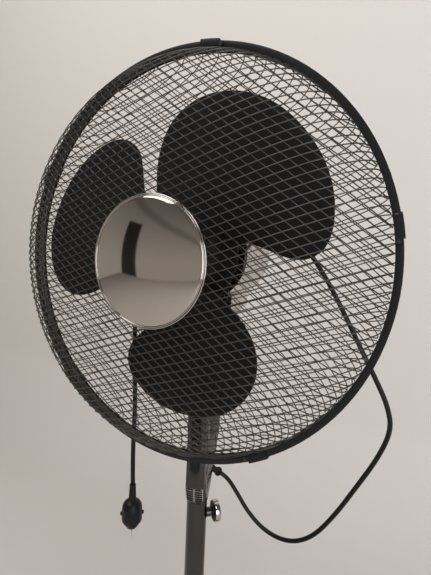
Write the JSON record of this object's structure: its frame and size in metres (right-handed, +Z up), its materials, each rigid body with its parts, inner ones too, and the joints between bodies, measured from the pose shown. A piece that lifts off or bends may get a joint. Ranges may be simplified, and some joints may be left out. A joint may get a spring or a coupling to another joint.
{
  "type": "pedestal fan",
  "caption": "Free-standing fan with a round weighted base, sliding column, control housing, tilting and swinging head, woven-wire guard and a power cord draped over the motor.",
  "frame": {"origin": "on the column's axis at the floor, the middle of the foot ring's underside", "axes": "+Z up along the column, -Y the way the fan blows, +X to the right of a person who faces the fan"},
  "size_m": [0.4499, 0.38, 1.0955],
  "materials": {
    "rubber_foot": "matte",
    "cast_weight": "matte",
    "base_paint": "satin",
    "screw_steel": "satin",
    "black_plastic": "matte",
    "bright_chrome": "polished",
    "key_plastic": "gloss",
    "core_steel": "satin",
    "blade_plastic": "satin",
    "guard_wire": "satin",
    "band_metal": "satin",
    "cord_plastic": "matte"
  },
  "bodies": {
    "stand": {"foot_ring": "rubber_foot", "base_weight": "cast_weight", "base_cover": "base_paint", "base_bolt": "screw_steel", "tube_plug": "black_plastic", "column_socket": "base_paint", "outer_tube": "bright_chrome", "tube_bush": "black_plastic"},
    "knob": {"height_knob": "bright_chrome"},
    "pole": {"inner_tube": "bright_chrome", "pole_guide": "black_plastic", "pole_sleeve": "screw_steel", "housing_front": "bright_chrome", "housing_rear": "bright_chrome", "housing_screws": "screw_steel", "button_panel": "black_plastic", "ribbed_insert": "black_plastic", "switch_block": "black_plastic", "strain_relief": "black_plastic", "pole_head": "cast_weight", "tilt_bolt": "screw_steel", "power_cord_lower": "cord_plastic"},
    "tilt_clamp": {"tilt_knob": "black_plastic"},
    "key_0": {"button_0": "key_plastic"},
    "key_1": {"button_1": "key_plastic"},
    "key_2": {"button_2": "key_plastic"},
    "key_3": {"button_3": "key_plastic"},
    "neck_body": {"neck": "cast_weight", "power_cord_middle": "cord_plastic"},
    "head": {"motor_mount": "bright_chrome", "motor_front_shell": "bright_chrome", "motor_rear_shell": "bright_chrome", "rear_bracket": "screw_steel", "stator": "core_steel", "front_bearing": "screw_steel", "rear_bearing": "screw_steel", "rear_guard_nut": "black_plastic", "front_guard_mesh": "guard_wire", "rear_guard_mesh": "guard_wire", "front_guard_rim": "guard_wire", "rear_guard_rim": "guard_wire", "guard_band": "band_metal", "clip_pins": "screw_steel", "centre_badge": "bright_chrome", "badge_backing": "black_plastic", "plug": "cord_plastic", "plug_pins": "screw_steel", "power_cord_upper": "cord_plastic"},
    "rotor": {"motor_shaft": "screw_steel", "rotor_core": "core_steel", "blade": "blade_plastic", "blade_nut": "black_plastic"},
    "swing_crank": {"crank": "screw_steel"},
    "swing_link": {"link_arm": "screw_steel"},
    "swing_stop": {"swing_knob": "black_plastic"},
    "clip_1": {"guard_clip_1": "band_metal"},
    "clip_2": {"guard_clip_2": "band_metal"},
    "clip_3": {"guard_clip_3": "band_metal"},
    "clip_4": {"guard_clip_4": "band_metal"},
    "clip_5": {"guard_clip_5": "band_metal"}
  },
  "joints": [
    {"name": "pole_height", "type": "slide", "parent": "stand", "child": "pole", "axis": [0, 0, 1], "range_m": [0, 0.25]},
    {"name": "height_knob_turn", "type": "hinge", "parent": "stand", "child": "knob", "pos_m": [0.02084, 0.02158, 0.5025], "axis": [0.6947, 0.7193, 0], "range_deg": [0, 720]},
    {"name": "head_tilt", "type": "hinge", "parent": "pole", "child": "neck_body", "pos_m": [0, 0, 0.772], "axis": [0.9703, 0.2419, 0], "range_deg": [-20, 12], "deforming": ["power_cord_lower"]},
    {"name": "tilt_knob_turn", "type": "hinge", "parent": "pole", "child": "tilt_clamp", "pos_m": [0.02426, 0.00605, 0.772], "axis": [0.9703, 0.2419, 0], "range_deg": [0, 360]},
    {"name": "oscillation", "type": "hinge", "parent": "neck_body", "child": "head", "pos_m": [0, 0, 0.8], "axis": [0, 0, 1], "range_deg": [-40, 40], "deforming": ["power_cord_middle", "power_cord_upper"]},
    {"name": "blade_spin", "type": "hinge", "parent": "head", "child": "rotor", "pos_m": [0.0173, -0.105, 0.8779], "axis": [0, 1, 0], "continuous": true},
    {"name": "crank_turn", "type": "hinge", "parent": "head", "child": "swing_crank", "pos_m": [0.026, 0.02, 0.8], "axis": [0, 0, 1], "range_deg": [-61, 61]},
    {"name": "link_swing", "type": "hinge", "parent": "swing_crank", "child": "swing_link", "pos_m": [0.026, 0.03485, 0.799], "axis": [0, 0, 1], "range_deg": [-61, 61]},
    {"name": "swing_stop_pull", "type": "slide", "parent": "head", "child": "swing_stop", "axis": [0, 0, 1], "range_m": [0, 0.006]},
    {"name": "key_0_press", "type": "slide", "parent": "pole", "child": "key_0", "axis": [-0.2419, 0.9703, 0], "range_m": [0, 0.002], "stiffness_N_per_m": 300, "springref_m": -0.001},
    {"name": "key_1_press", "type": "slide", "parent": "pole", "child": "key_1", "axis": [-0.2419, 0.9703, 0], "range_m": [0, 0.002], "stiffness_N_per_m": 300, "springref_m": -0.001},
    {"name": "key_2_press", "type": "slide", "parent": "pole", "child": "key_2", "axis": [-0.2419, 0.9703, 0], "range_m": [0, 0.002], "stiffness_N_per_m": 300, "springref_m": -0.001},
    {"name": "key_3_press", "type": "slide", "parent": "pole", "child": "key_3", "axis": [-0.2419, 0.9703, 0], "range_m": [0, 0.002], "stiffness_N_per_m": 300, "springref_m": -0.001},
    {"name": "clip_1_open", "type": "hinge", "parent": "head", "child": "clip_1", "pos_m": [0.24173, -0.105, 0.89542], "axis": [0, 1, 0], "range_deg": [0, 65]},
    {"name": "clip_2_open", "type": "hinge", "parent": "head", "child": "clip_2", "pos_m": [0.06572, -0.105, 1.08684], "axis": [0, 1, 0], "range_deg": [0, 65]},
    {"name": "clip_3_open", "type": "hinge", "parent": "head", "child": "clip_3", "pos_m": [-0.17071, -0.105, 0.97859], "axis": [0, 1, 0], "range_deg": [0, 65]},
    {"name": "clip_4_open", "type": "hinge", "parent": "head", "child": "clip_4", "pos_m": [-0.14083, -0.105, 0.72027], "axis": [0, 1, 0], "range_deg": [0, 65]},
    {"name": "clip_5_open", "type": "hinge", "parent": "head", "child": "clip_5", "pos_m": [0.11408, -0.105, 0.66888], "axis": [0, 1, 0], "range_deg": [0, 65]}
  ],
  "couplings": [
    {"joint": "crank_turn", "follows": "oscillation", "ratio": -1.5},
    {"joint": "link_swing", "follows": "oscillation", "ratio": 1.5}
  ]
}
